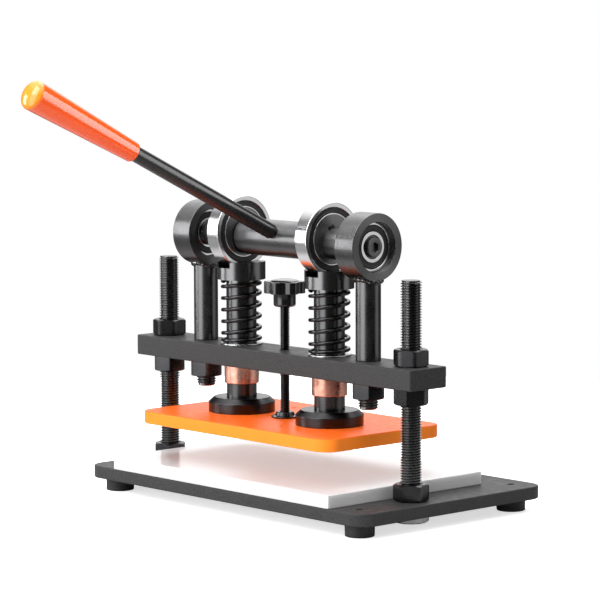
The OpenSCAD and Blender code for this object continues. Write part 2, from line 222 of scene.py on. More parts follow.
def sweep(centres, radials, tangents, radius, sides=14, closed=False):
    """A round bar along a path. radius is a number, or a function of the ring and the side."""
    bm = bmesh.new()
    rings = []
    for i, (c, radial, tangent) in enumerate(zip(centres, radials, tangents)):
        across = tangent.cross(radial).normalized()
        ring = []
        for k in range(sides):
            a = math.tau * k / sides
            r = radius(i, k) if callable(radius) else radius
            ring.append(bm.verts.new(c + radial * (r * math.cos(a)) + across * (r * math.sin(a))))
        rings.append(ring)
    for a, b in zip(rings, rings[1:] + rings[:1] if closed else rings[1:]):
        for k in range(sides):
            m = (k + 1) % sides
            bm.faces.new((a[k], a[m], b[m], b[k]))
    if not closed:
        bm.faces.new(rings[0])
        bm.faces.new(rings[-1])
    bmesh.ops.recalc_face_normals(bm, faces=bm.faces)
    return bm


def move(bm, x=0, y=0, z=0, turn=None):
    """Turns a shape about the origin, then moves it."""
    matrix = Matrix.Translation((x, y, z))
    bmesh.ops.transform(bm, matrix=matrix @ turn if turn else matrix, verts=bm.verts)
    return bm


def join(shapes):
    """Several shapes as one."""
    whole = bmesh.new()
    for bm in shapes:
        part = bpy.data.meshes.new("part")
        bm.to_mesh(part)
        whole.from_mesh(part)
        bpy.data.meshes.remove(part)
        bm.free()
    return whole


ALONG_X = Matrix.Rotation(math.pi / 2, 4, "Y")


def piece(name, bm, material, nodes, body=None, sharp=32):
    """Puts a shape in the scene, on the body of its CAD nodes."""
    nodes = [nodes] if isinstance(nodes, str) else nodes
    bmesh.ops.scale(bm, vec=(MM, MM, MM), verts=bm.verts)
    mesh = bpy.data.meshes.new(name)
    bm.to_mesh(mesh)
    bm.free()
    mesh.materials.append(material)
    mesh.shade_smooth()
    mesh.set_sharp_from_angle(angle=math.radians(sharp))
    obj = bpy.data.objects.new(name, mesh)
    bpy.context.collection.objects.link(obj)
    weighted = obj.modifiers.new("normals", "WEIGHTED_NORMAL")
    weighted.keep_sharp = True
    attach(obj, body or BODY[nodes[0]])
    return obj


def part(name, bm, material, *nodes, body=None, sharp=32):
    obj = piece(name, bm, material, nodes, body, sharp)
    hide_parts(*nodes)
    return obj


# ---------------------------------------------------------------- materials


class Nodes:
    """A small helper that adds and links shader nodes."""

    def __init__(self, name):
        self.material = bpy.data.materials.new(name)
        self.material.use_nodes = True
        self.tree = self.material.node_tree
        self.shader = self.tree.nodes["Principled BSDF"]
        self.place = self.add("ShaderNodeTexCoord").outputs["Object"]

    def add(self, kind, **values):
        node = self.tree.nodes.new(kind)
        for key, value in values.items():
            setattr(node, key, value)
        return node

    def link(self, a, b):
        self.tree.links.new(a, b)

    def math(self, operation, *inputs):
        node = self.add("ShaderNodeMath", operation=operation)
        for i, value in enumerate(inputs):
            if isinstance(value, (int, float)):
                node.inputs[i].default_value = value
            else:
                self.link(value, node.inputs[i])
        return node.outputs[0]

    def stretched(self, scale):
        node = self.add("ShaderNodeMapping")
        node.inputs["Scale"].default_value = scale
        self.link(self.place, node.inputs["Vector"])
        return node.outputs["Vector"]

    def noise(self, scale, detail=3, vector=None, stretch=None, rough=0.55):
        node = self.add("ShaderNodeTexNoise")
        node.inputs["Scale"].default_value = scale
        node.inputs["Detail"].default_value = detail
        node.inputs["Roughness"].default_value = rough
        self.link(vector or (self.stretched(stretch) if stretch else self.place), node.inputs["Vector"])
        return node.outputs["Fac"]

    def polar(self, axis, centre):
        """Distances from an axis and along it. Both sides of x = 0 share one centre."""
        x, y, z = (self.add("ShaderNodeSeparateXYZ").outputs)
        self.link(self.place, x.node.inputs[0])
        if axis == "Z":
            along, a, b = z, self.math("SUBTRACT", self.math("ABSOLUTE", x), centre[0] * MM), y
            b = self.math("SUBTRACT", b, centre[1] * MM)
        else:
            along, a = x, self.math("SUBTRACT", y, centre[1] * MM)
            b = self.math("SUBTRACT", z, centre[2] * MM)
        squares = self.math("ADD", self.math("POWER", a, 2.0), self.math("POWER", b, 2.0))
        return self.math("SQRT", squares), along

    def rings(self, axis, centre, scale):
        """Noise that runs round an axis: fine turning marks."""
        r, along = self.polar(axis, centre)
        node = self.add("ShaderNodeTexNoise", noise_dimensions="1D")
        node.inputs["Scale"].default_value = scale
        node.inputs["Detail"].default_value = 3
        self.link(self.math("ADD", r, self.math("ABSOLUTE", along)), node.inputs["W"])
        return node.outputs["Fac"]

    def ramp(self, factor, *stops):
        node = self.add("ShaderNodeValToRGB")
        ramp = node.color_ramp
        while len(ramp.elements) < len(stops):
            ramp.elements.new(0.5)
        for element, (position, value) in zip(ramp.elements, stops):
            element.position = position
            element.color = (*value, 1) if isinstance(value, (list, tuple)) else (value, value, value, 1)
        self.link(factor, node.inputs["Fac"])
        return node.outputs["Color"]

    def range(self, factor, low, high, start=0.3, end=0.7):
        node = self.add("ShaderNodeMapRange")
        for key, value in zip(("From Min", "From Max", "To Min", "To Max"), (start, end, low, high)):
            node.inputs[key].default_value = value
        self.link(factor, node.inputs["Value"])
        return node.outputs["Result"]

    def bump(self, height, strength, distance=0.0001):
        node = self.add("ShaderNodeBump")
        node.inputs["Strength"].default_value = strength
        node.inputs["Distance"].default_value = distance
        self.link(height, node.inputs["Height"])
        self.link(node.outputs["Normal"], self.shader.inputs["Normal"])
        return node

    def set(self, **values):
        for key, value in values.items():
            self.shader.inputs[key.replace("_", " ")].default_value = value
        return self

    def along(self, start, line):
        """Distance in millimetres from a point, measured along a direction."""
        node = self.add("ShaderNodeVectorMath", operation="DOT_PRODUCT")
        node.inputs[1].default_value = Vector(line) / MM
        self.link(self.place, node.inputs[0])
        return self.math("SUBTRACT", node.outputs["Value"], Vector(start).dot(Vector(line)))

    def tint(self, factor, start, end, colour):
        """Changes the base colour to another one as factor goes from start to end."""
        before = self.shader.inputs["Base Color"].links[0].from_socket
        mix = self.add("ShaderNodeMix", data_type="RGBA")
        self.link(self.range(factor, 0, 1, start, end), mix.inputs["Factor"])
        self.link(before, mix.inputs["A"])
        mix.inputs["B"].default_value = (*colour, 1)
        self.link(mix.outputs["Result"], self.shader.inputs["Base Color"])
        return self

    def colour(self, factor, *stops):
        self.link(self.ramp(factor, *stops), self.shader.inputs["Base Color"])

    def roughness(self, factor, low, high, start=0.3, end=0.7):
        self.link(self.range(factor, low, high, start, end), self.shader.inputs["Roughness"])


def scaled(colour, factor):
    return tuple(min(1, c * factor) for c in colour)


def coat(name, colour, rough, grain, strength, vary=0.12, speck=35, gloss=0.5,
         coat_weight=0.0, coat_rough=0.1):
    """Paint or plastic: slow or speckled colour change, uneven gloss and a fine surface grain."""
    n = Nodes(name)
    n.set(Specular_IOR_Level=gloss, Coat_Weight=coat_weight, Coat_Roughness=coat_rough)
    n.colour(n.noise(speck, 4), (0.3, scaled(colour, 1 - vary)), (0.7, scaled(colour, 1 + vary)))
    n.roughness(n.noise(160, 5), rough * 0.85, rough * 1.15)
    n.bump(n.noise(grain, 3), strength)
    return n


def steel(name, colour, rough, axis=None, centre=(0, 0, 0), marks=0.12, aniso=0.0, vary=0.15, scale=4000):
    """Steel, with fine marks round its axis if it was turned."""
    n = Nodes(name)
    n.set(Metallic=1.0, Anisotropic=aniso)
    n.colour(n.noise(60, 5), (0.3, scaled(colour, 1 - vary)), (0.7, scaled(colour, 1 + vary)))
    fine = n.rings(axis, centre, scale) if axis else n.noise(scale / 5, 4)
    n.roughness(fine, rough * 0.8, rough * 1.2)
    n.bump(fine, marks, 0.00005)
    if aniso and axis:
        tangent = n.add("ShaderNodeTangent", direction_type="RADIAL", axis=axis)
        n.link(tangent.outputs["Tangent"], n.shader.inputs["Tangent"])
        n.set(Anisotropic_Rotation=0.25)
    return n


columns_mid, _ = box_mm("column_left")
FRAME_Y = columns_mid.y
AXIS_Z = box_mm("cam_shaft")[0].z
CAM_Y, CAM_Z = box_mm("cam_bearing_right")[0].y, box_mm("cam_bearing_right")[0].z
CAM_X = box_mm("cam_bearing_right")[0].x
SHAFT = (0, FRAME_Y, AXIS_Z)

RISE = math.radians(26)
HANDLE_LINE = (0, -math.cos(RISE), math.sin(RISE))
CAP_Z = box_mm("plunger_left")[0].z + box_mm("plunger_left")[1].z / 2 - 18.5
PLATE_TOP = box_mm("press_plate")[0].z + box_mm("press_plate")[1].z / 2
BOARD_TOP = box_mm("cutting_board")[0].z + box_mm("cutting_board")[1].z / 2

paint = coat("dark_powder_coat", (0.038, 0.038, 0.039), 0.46, 1600, 0.22, vary=0.3, speck=900, gloss=0.12)
paint = paint.material
orange = coat("orange_powder_coat", (0.95, 0.235, 0.022), 0.36, 1500, 0.12, vary=0.05, gloss=0.12)
# The plate's side faces keep a yellower orange and only the top turns redder: painted light on the sides,
# standing in for the strong front-left softbox.
orange = orange.tint(orange.along((0, 0, PLATE_TOP), (0, 0, 1)), -1.0, -0.3, (0.92, 0.135, 0.014)).material
board = coat("white_board", (0.60, 0.60, 0.605), 0.14, 700, 0.03, vary=0.015, gloss=0.4)
board.set(Subsurface_Weight=0.5, Subsurface_Radius=(1, 1, 1), Subsurface_Scale=0.006)
# The board's top is painted lighter than its side faces: painted shade on the sides, standing in for the
# lower light there.
board = board.tint(board.along((0, 0, BOARD_TOP), (0, 0, 1)), -0.5, -0.1, (0.66, 0.67, 0.69)).material
grip = coat("grip_plastic", (0.98, 0.10, 0.008), 0.14, 60, 0.001, vary=0.03, gloss=0.4,
            coat_weight=0.5, coat_rough=0.09)
# The end dome turns yellow-orange: painted light, standing in for the softbox that overexposes the grip's
# end.
grip = grip.tint(grip.along(SHAFT, HANDLE_LINE), 266.5, 269, (0.98, 0.26, 0.02)).material
knob = coat("knob_plastic", (0.006, 0.006, 0.007), 0.14, 600, 0.03, coat_weight=0.5, coat_rough=0.06).material
rubber = coat("foot_rubber", (0.012, 0.012, 0.013), 0.6, 900, 0.25).material
seal = coat("seal_rubber", (0.010, 0.010, 0.011), 0.34, 1400, 0.10).material
rod = coat("black_handle_rod", (0.011, 0.011, 0.012), 0.27, 200, 0.008, gloss=0.5).material
black = steel("black_oxide", (0.06, 0.06, 0.063), 0.25, marks=0.2).material
black_bar = steel("black_oxide_thread", (0.018, 0.018, 0.019), 0.24, marks=0.15)
# The thread roots stay near-black and the crests turn light grey: painted shade in the roots and painted
# highlight on the crests.
black_bar = black_bar.tint(black_bar.polar("Z", columns_mid)[0], 0.0069, 0.0079, (0.14, 0.14, 0.143)).material
black_screw = steel("black_oxide_screw", (0.02, 0.02, 0.021), 0.22, marks=0.15)
radius = black_screw.polar("Z", (0, columns_mid.y))[0]
# The thread roots stay near-black and the crests turn light grey: painted shade in the roots and painted
# highlight on the crests.
black_screw = black_screw.tint(radius, 0.0033, 0.0039, (0.15, 0.15, 0.153)).material
ram_steel = steel("black_oxide_ram", (0.10, 0.10, 0.103), 0.22, "Z", (CAM_X, FRAME_Y), 0.12, 0.2, 0.25)
# The cap above CAP_Z is painted lighter than the rod below it: painted light on the cap and painted shade on
# the rod inside the spring.
ram_steel = ram_steel.tint(ram_steel.along((0, 0, CAP_Z), (0, 0, 1)), -1, 1, (0.16, 0.16, 0.163)).material
flange_steel = steel("black_oxide_flange", (0.05, 0.05, 0.052), 0.28, "Z", (CAM_X, FRAME_Y), 0.15, 0.3)
flange_steel = flange_steel.material
post_steel = steel("dark_post", (0.13, 0.13, 0.133), 0.27, marks=0.02, vary=0.12, scale=300).material
housing_steel = steel("dark_turned_housing", (0.14, 0.14, 0.143), 0.34, "X", SHAFT, 0.2, 0.8).material
shaft_steel = steel("dark_turned_shaft", (0.15, 0.15, 0.153), 0.38, "X", SHAFT, 0.15, 0.8).material
disc_steel = steel("turned_disc", (0.2, 0.2, 0.205), 0.3, "X", SHAFT, 0.35, 0.7).material
ring_steel = steel("polished_ring", (0.74, 0.74, 0.75), 0.20, "X", (0, CAM_Y, CAM_Z), 0.1, 0.3, 0.05).material
lip_steel = steel("polished_lip", (0.7, 0.7, 0.71), 0.14, marks=0.05, vary=0.05).material
screw_steel = steel("grey_screw", (0.16, 0.16, 0.165), 0.4, "X", SHAFT, 0.3).material
seat_steel = steel("bright_washer", (0.5, 0.5, 0.51), 0.25, marks=0.1).material
spring_steel = steel("spring_wire", (0.045, 0.045, 0.047), 0.20, marks=0.15).material
zinc = steel("zinc_nut", (0.5, 0.5, 0.5), 0.4, marks=0.2).material


def bronze_material():
    n = Nodes("tarnished_bronze")
    n.set(Metallic=1.0)
    blotch = n.noise(75, 6, rough=0.65)
    n.colour(blotch, (0.32, (0.62, 0.26, 0.19)), (0.48, (0.78, 0.40, 0.30)), (0.66, (0.88, 0.58, 0.47)))
    n.roughness(n.noise(120, 4), 0.2, 0.42)
    n.bump(n.rings("Z", (CAM_X, FRAME_Y), 3000), 0.12, 0.00005)
    return n.material


def weld_material():
    n = Nodes("weld_bead")
    n.set(Metallic=1.0)
    n.colour(n.noise(700, 4), (0.42, 0.02), (0.60, 0.12), (0.70, 0.75))
    n.roughness(n.noise(500, 3), 0.2, 0.5)
    n.bump(n.noise(900, 4), 0.7, 0.0004)
    return n.material


bronze = bronze_material()
weld = weld_material()

# ---------------------------------------------------------------- base and columns

mid, size = box_mm("base_plate")
BASE_TOP = mid.z + size.z / 2
_, foot_size = box_mm("rubber_feet")
FOOT_R = 11.3
foot_x, foot_y = foot_size.x / 2 - FOOT_R, foot_size.y / 2 - FOOT_R
column_x = abs(columns_mid.x)
bench_holes = [circle(sx * foot_x, sy * foot_y, 2.75) for sx in (-1, 1) for sy in (-1, 1)]
column_holes = [circle(sx * column_x, FRAME_Y, 8.2) for _, sx in SIDES]
outline = rectangle(-size.x / 2, -size.y / 2, size.x / 2, size.y / 2, 15)
body = slab(outline, mid.z - size.z / 2, BASE_TOP, 1.1, bench_holes + column_holes)
part("base_plate_body", body, paint, "base_plate")

foot = [(2.75, 0), (FOOT_R - 0.3, 0), (FOOT_R, foot_size.z), (2.75, foot_size.z)]
feet = [move(lathe(fillet(foot, [0.3, 0.9, 0.4, 0.3]), segments=64), sx * foot_x, sy * foot_y)
        for sx in (-1, 1) for sy in (-1, 1)]
part("feet", join(feet), rubber, "rubber_feet")

mid, size = box_mm("cutting_board")
low, high = mid - size / 2, mid + size / 2
dimple = [circle(90, 59, 0.8, 16)]
outline = rectangle(low.x, low.y, high.x, high.y, 0.8, 3)
part("board", slab(outline, low.z, high.z, 0.35, dimple), board, "cutting_board")

for side, sx in SIDES:
    mid, size = box_mm(f"column_{side}")
    bar = thread(8.0, 2.0, mid.z - size.z / 2, mid.z + size.z / 2, 1.1)
    part(f"column_bar_{side}", move(bar, mid.x, mid.y), black_bar, f"column_{side}")


NUT_FLATS, NUT_BORE, NUT_GAP = 24, 8.05, 0.03


def nut_pair(name, node, turns, material, rim=0.95):
    """Two nuts at the same height on both sides, which share one CAD node."""
    mid, size = box_mm(node)
    x = column_x if size.x > 250 else box_mm("eye_post_right")[0].x
    low, high = mid.z - size.z / 2, mid.z + size.z / 2
    pair = [move(hex_nut(NUT_FLATS, low, high, NUT_BORE, turn, rim), sx * x, FRAME_Y)
            for turn, (_, sx) in zip(turns, SIDES)]
    part(name, join(pair), material, node)


nut_pair("base_nuts", "base_nuts_upper", (16.1, 45.5), black)
nut_pair("bottom_nuts", "base_nuts_lower", (16.1, 45.5), zinc)
nut_pair("stub_nuts", "post_nuts", (17.7, 16.7), black)
for node, turns in (("top_nut", (38.8, 31)), ("under_nut", (19.4, 0))):
    for turn, (side, sx) in zip(turns, SIDES):
        mid, size = box_mm(f"{node}_{side}")
        nut = hex_nut(NUT_FLATS, mid.z - size.z / 2 + NUT_GAP, mid.z + size.z / 2 - NUT_GAP, NUT_BORE, turn)
        part(f"{node}_body_{side}", move(nut, sx * column_x, FRAME_Y), black, f"{node}_{side}")

# ---------------------------------------------------------------- beam, posts and housings

mid, size = box_mm("cross_beam")
low, high = mid - size / 2, mid + size / 2
BEAM_TOP = high.z
post_x = box_mm("eye_post_right")[0].x
holes = [circle(0, FRAME_Y, 4.1, 24)]
for _, sx in SIDES:
    holes += [circle(sx * column_x, FRAME_Y, 8.75), circle(sx * post_x, FRAME_Y, 8.2)]
    holes.append(circle(sx * CAM_X, FRAME_Y, 13.6, 64))
outline = rectangle(low.x, low.y, high.x, high.y, 1.4, 4)
part("beam_bar", slab(outline, low.z, high.z, 1.0, holes), paint, "cross_beam")

for side, sx in SIDES:
    mid, size = box_mm(f"eye_post_{side}")
    ring_mid, ring_size = box_mm(f"ring_housing_{side}")
    R, r = ring_size.z / 2, 9.6
    shank_top = AXIS_Z - R + 2.6
    shank = [(0, BEAM_TOP - 2), (8.05, BEAM_TOP - 2), (8.05, BEAM_TOP), (r, BEAM_TOP),
             (r, shank_top), (0, shank_top)]
    shank = lathe(fillet(shank, [0, 0, 0, 0.6, 0, 0], closed=False), False, 96)
    stub = thread(8.0, 2.0, mid.z - size.z / 2, BEAM_TOP - 1, 2.0)
    part(f"post_{side}", move(join([shank, stub]), mid.x, mid.y), post_steel, f"eye_post_{side}")

    bead, radials, tangents = [], [], []
    for k in range(120):
        a = math.tau * k / 120
        x, y = (r + 0.5) * math.cos(a), (r + 0.5) * math.sin(a)
        bead.append(Vector((mid.x + x, mid.y + y, AXIS_Z - math.sqrt(R * R - y * y) - 0.6)))
        radials.append(Vector((math.cos(a), math.sin(a), 0)))
    for k in range(120):
        tangents.append((bead[(k + 1) % 120] - bead[k - 1]).normalized())
    lump = [1.7 + 0.5 * noise.noise(Vector((p.x * 0.45, p.y * 0.45, k * 0.3))) for k, p in enumerate(bead)]

    def thickness(i, k):
        return lump[i] * (1 + 0.12 * noise.noise(bead[i] * 0.9 + Vector((k, 0, 0))))

    bumpy = sweep(bead, radials, tangents, thickness, 12, True)
    piece(f"weld_{side}", bumpy, weld, [f"eye_post_{side}"], sharp=60)

    seat = box_mm(f"shaft_bearing_{side}")[1].z / 2
    half = ring_size.x / 2
    housing = fillet([(seat, -half), (R, -half), (R, half), (seat, half)], [0.4, 0.5, 0.5, 0.4])
    ring = move(lathe(housing, segments=128), ring_mid.x, FRAME_Y, AXIS_Z, ALONG_X)
    part(f"housing_{side}", ring, housing_steel, f"ring_housing_{side}")


def bearing(prefix, outer_node, seal_node, lip_node, side, bore, ring_material):
    """A sealed ball bearing: outer ring, two ribbed seals and inner ring."""
    mid, size = box_mm(f"{outer_node}_{side}")
    race = box_mm(f"{seal_node}_{side}")[1].z / 2
    lip = box_mm(f"{lip_node}_{side}")[1].z / 2
    half, outer = size.x / 2, size.z / 2
    at = (mid.x, mid.y, mid.z, ALONG_X)
    rim = min(0.9, (outer - race) * 0.35)
    shape = [(race, -half), (outer, -half), (outer, half), (race, half)]
    shape = fillet(shape, [rim * 0.6, rim, rim, rim * 0.6], 4)
    ring = move(lathe(shape, segments=128), *at)
    part(f"{prefix}_outer_{side}", ring, ring_material, f"{outer_node}_{side}")
    band = race - lip
    ribs = [(lip + 0.06, 1.7), (lip + 0.06, 0.8), (lip + band * 0.12, 0.5), (lip + band * 0.30, 0.5),
            (lip + band * 0.36, 0.75), (lip + band * 0.72, 0.75), (lip + band * 0.78, 0.5),
            (race - band * 0.10, 0.5), (race - band * 0.06, 0.9), (race, 0.9), (race, 1.7)]
    seals = []
    for face in (-1, 1):
        profile = [(r, face * (half - depth)) for r, depth in ribs]
        seals.append(move(lathe(fillet(profile, 0.12, 2), segments=128), *at))
    part(f"{prefix}_seals_{side}", join(seals), seal, f"{seal_node}_{side}")
    inner = tube(lip, bore, -half, half, 0.3, 0.3, 128)
    part(f"{prefix}_inner_{side}", move(inner, *at), lip_steel, f"{lip_node}_{side}")


for side, sx in SIDES:
    disc_r = box_mm(f"cam_disc_{side}")[1].z / 2
    bearing("cam_race", "cam_bearing", "cam_seal", "cam_inner_ring", side, disc_r, ring_steel)
    bearing("end_race", "shaft_bearing", "shaft_seal", "shaft_inner_ring", side, 9.0, lip_steel)

    mid, size = box_mm(f"bushing_{side}")
    z0, z1 = mid.z - size.z / 2, mid.z + size.z / 2
    sleeve = fillet([(11.95, z0), (13.6, z0), (13.6, z1), (11.95, z1)], [0.3, 1.2, 0.2, 0.2], 5)
    part(f"sleeve_{side}", move(lathe(sleeve), mid.x, mid.y), bronze, f"bushing_{side}")

    mid, size = box_mm(f"spring_seat_{side}")
    washer = tube(size.x / 2, 12.3, mid.z - size.z / 2, mid.z + size.z / 2, 0.3, 0.2)
    part(f"washer_{side}", move(washer, mid.x, mid.y), seat_steel, f"spring_seat_{side}")

# ---------------------------------------------------------------- shaft and handle

mid, size = box_mm("cam_shaft")
end = size.x / 2
cam_half = box_mm("cam_bearing_right")[1].x / 2
bearing_in = box_mm("shaft_bearing_right")[0].x - 5.5
tube_end = CAM_X - cam_half - 0.6
half_profile = [(9, end), (9, bearing_in), (10, bearing_in), (10, CAM_X + 18), (12, CAM_X + 18),
                (12, tube_end), (14.25, tube_end)]
profile = [(0, end)] + half_profile + [(r, -x) for r, x in reversed(half_profile)] + [(0, -end)]
rounds = [0, 0.5, 0.3, 0.4, 0, 0.6, 0, 1.0, 1.0, 0, 0.6, 0, 0.4, 0.3, 0.5, 0]
shaft = lathe(fillet(profile, rounds, 3, False), False, 112)
part("shaft_bar", move(shaft, 0, FRAME_Y, AXIS_Z, ALONG_X), shaft_steel, "cam_shaft")

for side, sx in SIDES:
    mid, size = box_mm(f"end_screw_{side}")
    half, head = size.x / 2, size.z / 2
    hole = 3.5 / math.cos(math.pi / 6)
    screw = [(4.3, -half), (head, -half), (head, half), (4.3, half)]
    screw = lathe(fillet(screw, [0, 0.2, 0.6, 0.4]), segments=72)
    socket = bmesh.new()
    rows = []
    for z, r, steps in ((half - 0.4, 4.35, 0), (half - 0.45, hole, 1), (-half + 0.5, hole, 1)):
        row = []
        for k in range(72):
            a = math.tau * k / 72
            to_flat = (a % (math.pi / 3)) - math.pi / 6
            radius = hole * math.cos(math.pi / 6) / math.cos(to_flat) if steps else r
            row.append(socket.verts.new((radius * math.cos(a), radius * math.sin(a), z)))
        rows.append(row)
    for a, b in zip(rows, rows[1:]):
        for k in range(72):
            m = (k + 1) % 72
            socket.faces.new((a[k], a[m], b[m], b[k]))
    socket.faces.new(rows[-1])
    bmesh.ops.recalc_face_normals(socket, faces=socket.faces)
    bmesh.ops.reverse_faces(socket, faces=socket.faces)
    whole = join([screw, socket])
    turn = ALONG_X if sx > 0 else Matrix.Rotation(-math.pi / 2, 4, "Y")
    part(f"end_cap_{side}", move(whole, mid.x, FRAME_Y, AXIS_Z, turn), screw_steel, f"end_screw_{side}")
    for node, look in ((f"cam_disc_{side}", disc_steel), (f"cam_key_{side}", black)):
        kept = frame["nodes"][node]
        kept.data.materials.clear()
        kept.data.materials.append(look)

HANDLE = Matrix.Rotation(math.pi / 2 - RISE, 4, "X")
GRIP_START, GRIP_END, THIN, THICK = 166.0, 273.5, 7.8, 11.4
bar = [(0, 12.0), (5.1, 12.0), (5.1, 14.6), (6.0, 15.9), (6.0, GRIP_END - 30), (0, GRIP_END - 30)]
bar = lathe(fillet(bar, [0, 0, 0.2, 0.3, 0, 0], closed=False), False, 72)
part("handle_bar", move(bar, 0, FRAME_Y, AXIS_Z, HANDLE), rod, "handle_rod")
shape = [(6.02, GRIP_START + 0.5), (6.4, GRIP_START)]
shape += [(THIN - 1.7 + 1.7 * math.sin(a), GRIP_START + 1.7 - 1.7 * math.cos(a))
          for a in (math.radians(d) for d in range(20, 91, 14))]
steps = 10
for k in range(1, steps):
    t = k / steps
    shape.append((THIN + (THICK - THIN) * t, GRIP_START + 1.7 + (GRIP_END - 6 - GRIP_START - 1.7) * t))
shape += [(THICK * math.cos(a), GRIP_END - 6 + 6 * math.sin(a))
          for a in (math.radians(d) for d in range(0, 90, 6))]
shape += [(0, GRIP_END)]
shape += [(0, GRIP_END - 31), (6.02, GRIP_END - 31)]
grip_bm = lathe(shape, True, 96)
part("grip", move(grip_bm, 0, FRAME_Y, AXIS_Z, HANDLE), grip, "handle_grip", sharp=50)

# ---------------------------------------------------------------- ram

mid, size = box_mm("press_plate")
low, high = mid - size / 2, mid + size / 2
holes = [circle(sx * 33.5, mid.y + sy * 36, 2.0, 24) for sx in (-1, 1) for sy in (-1, 1)]
outline = rectangle(low.x, low.y, high.x, high.y, 13, 16)
part("plate", slab(outline, low.z, high.z, 0.9, holes), orange, "press_plate")

PLUNGER_R, FLANGE_SIDE_H, FLANGE_SLOPE_W = 11.9, 7.8, 4.2
for side, sx in SIDES:
    kept = frame["nodes"][f"plunger_{side}"]
    kept.data.materials.clear()
    kept.data.materials.append(ram_steel)

    mid, size = box_mm(f"flange_{side}")
    top = mid.z + size.z / 2
    R = size.x / 2
    ring = [(PLUNGER_R, PLATE_TOP), (R, PLATE_TOP), (R, PLATE_TOP + FLANGE_SIDE_H), (R - FLANGE_SLOPE_W, top),
            (PLUNGER_R, top)]
    ring = lathe(fillet(ring, [0, 0.3, 0.7, 0.7, 0.2]), segments=128)
    part(f"flange_disc_{side}", move(ring, mid.x, mid.y), flange_steel, f"flange_{side}")

WIRE, COIL_R, TURNS, DEAD = 1.5, 14.7, 6.3, 0.85
for side, sx in SIDES:
    mid, size = box_mm(f"spring_{side}")
    z0, z1 = mid.z - size.z / 2 + WIRE, mid.z + size.z / 2 - WIRE
    closed = DEAD * 2 * WIRE * 1.03
    slope = (z1 - z0 - 2 * closed) / (TURNS - 2 * DEAD)
    centres, radials, tangents = [], [], []
    steps = int(TURNS * 48)
    for i in range(steps + 1):
        t = i / 48
        z = z0 + min(t, DEAD) * closed / DEAD
        z += max(0, min(t, TURNS - DEAD) - DEAD) * slope
        z += max(0, t - TURNS + DEAD) * closed / DEAD
        a = math.tau * t + math.radians(145)
        centres.append(Vector((mid.x + COIL_R * math.cos(a), FRAME_Y + COIL_R * math.sin(a), z)))
        radials.append(Vector((math.cos(a), math.sin(a), 0)))
    for i in range(steps + 1):
        tangents.append((centres[min(i + 1, steps)] - centres[max(i - 1, 0)]).normalized())
    coil = sweep(centres, radials, tangents, WIRE, 16)
    spring = part(f"coil_{side}", coil, spring_steel, f"spring_{side}", body="beam", sharp=50)
    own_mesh(spring)

# ---------------------------------------------------------------- centre screw

mid, size = box_mm("centre_screw")
bar = thread(4.0, 1.25, mid.z - size.z / 2, mid.z + size.z / 2, 0.5, 40)
part("screw_bar", move(bar, 0, FRAME_Y), black_screw, "centre_screw")

mid, size = box_mm("centre_knob")
LOBES, LOBE_R, GROOVE_R = 6, 5.0, 4.0
STEP = math.pi / LOBES
KNOB_TURN = math.radians(16.8)
knob_low, knob_high = mid.z - size.z / 2, mid.z + size.z / 2
rim_low, rim_high = knob_low + 10.6, knob_low + 19.9
lobe_at = 16 - LOBE_R
across = lobe_at * math.sin(STEP)
groove_at = lobe_at * math.cos(STEP) + math.sqrt((LOBE_R + GROOVE_R) ** 2 - across ** 2)
lean = math.asin(across / (LOBE_R + GROOVE_R))
loop = []
for i in range(LOBES):
    at = KNOB_TURN + 2 * i * STEP
    centre = Vector((math.cos(at), math.sin(at))) * groove_at
    for k in range(12):
        a = at + math.pi + lean * (1 - k / 6)
        loop.append(centre + Vector((math.cos(a), math.sin(a))) * GROOVE_R)
    centre = Vector((math.cos(at + STEP), math.sin(at + STEP))) * lobe_at
    for k in range(20):
        a = at + STEP + (STEP + lean) * (k / 10 - 1)
        loop.append(centre + Vector((math.cos(a), math.sin(a))) * LOBE_R)
rim = slab([tuple(p) for p in loop], rim_low, rim_high, 0.5)
dome = [(10.9 * math.sin(a), rim_high - 0.3 + (knob_high - rim_high + 0.3) * math.cos(a))
        for a in (math.radians(d) for d in range(90, -1, -9))]
body = [(0, knob_low), (5, knob_low), (8.65, knob_low + 0.5), (8.65, rim_low + 3), *dome[:-1], (0, knob_high)]
body = lathe(fillet(body, [0, 0.5, 2.7] + [0] * (len(body) - 3), 6, False), False, 96)
part("star_knob", move(join([rim, body]), 0, FRAME_Y), knob, "centre_knob")

mid, size = box_mm("screw_pad")
low_z = mid.z - size.z / 2
pad = [(0, low_z), (10.7, low_z), (10.7, low_z + 1.2), (7.7, low_z + 1.6), (6.7, low_z + 4.4),
       (4.05, low_z + 4.4), (4.05, low_z + 1.7), (0, low_z + 1.7)]
pad = fillet(pad, [0, 0.3, 0.3, 0.4, 0.7, 0.2, 0, 0], closed=False)
part("pad_disc", move(lathe(pad, False, 72), 0, FRAME_Y), black, "screw_pad")

# ---------------------------------------------------------------- camera, floor and light

YAW, PITCH, ROLL = math.radians(47.786), math.radians(6.025), math.radians(-0.182)
FOCAL, DISTANCE, ACROSS, DOWN = 2952.98, 2.32347, 11.41, 199.21
right = Vector((math.cos(YAW), math.sin(YAW), 0))
ahead = Vector((-math.sin(YAW) * math.cos(PITCH), math.cos(YAW) * math.cos(PITCH), -math.sin(PITCH)))
up = right.cross(ahead)
right, up = (math.cos(ROLL) * right + math.sin(ROLL) * up, -math.sin(ROLL) * right + math.cos(ROLL) * up)
eye = -(right * (ACROSS / FOCAL * DISTANCE) - up * (DOWN / FOCAL * DISTANCE) + ahead * DISTANCE)
camera = bpy.data.objects.new("camera", bpy.data.cameras.new("camera"))
camera.data.sensor_width = 36
camera.data.lens = FOCAL * 36 / 600
camera.data.clip_end = 50
camera.matrix_world = Matrix.Translation(eye) @ Matrix((right, up, -ahead)).transposed().to_4x4()
bpy.context.collection.objects.link(camera)
bpy.context.scene.camera = camera
bpy.context.scene.view_settings.view_transform = "Standard"

